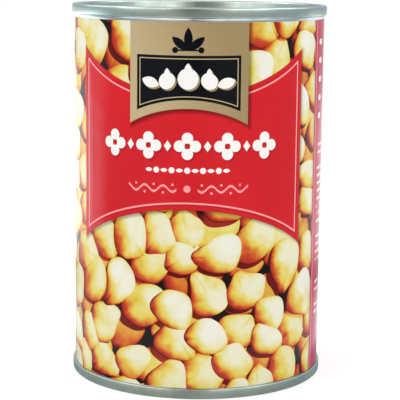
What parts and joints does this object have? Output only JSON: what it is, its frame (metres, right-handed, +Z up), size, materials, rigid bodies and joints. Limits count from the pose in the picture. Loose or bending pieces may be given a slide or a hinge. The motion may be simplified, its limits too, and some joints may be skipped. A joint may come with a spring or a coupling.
{
  "type": "food can",
  "caption": "Shut cylindrical steel food can of chick peas, with a double-seamed ringed end at top and bottom and a wrapped paper label.",
  "frame": {"origin": "centre of the base, at the level of the bottom seam's crown, on which the can stands", "axes": "+Z up along the can's axis; the middle of the label's front faces -Y, and +X is to its right"},
  "size_m": [0.0756, 0.0756, 0.1105],
  "materials": {
    "tinplate_body": "bright rolled tinplate",
    "tinplate_end": "satin lacquered tinplate",
    "printed_paper": "glossy printed paper"
  },
  "bodies": {
    "root": {"can_body": "tinplate_body", "top_end": "tinplate_end", "bottom_end": "tinplate_end", "paper_label": "printed_paper"}
  },
  "joints": []
}
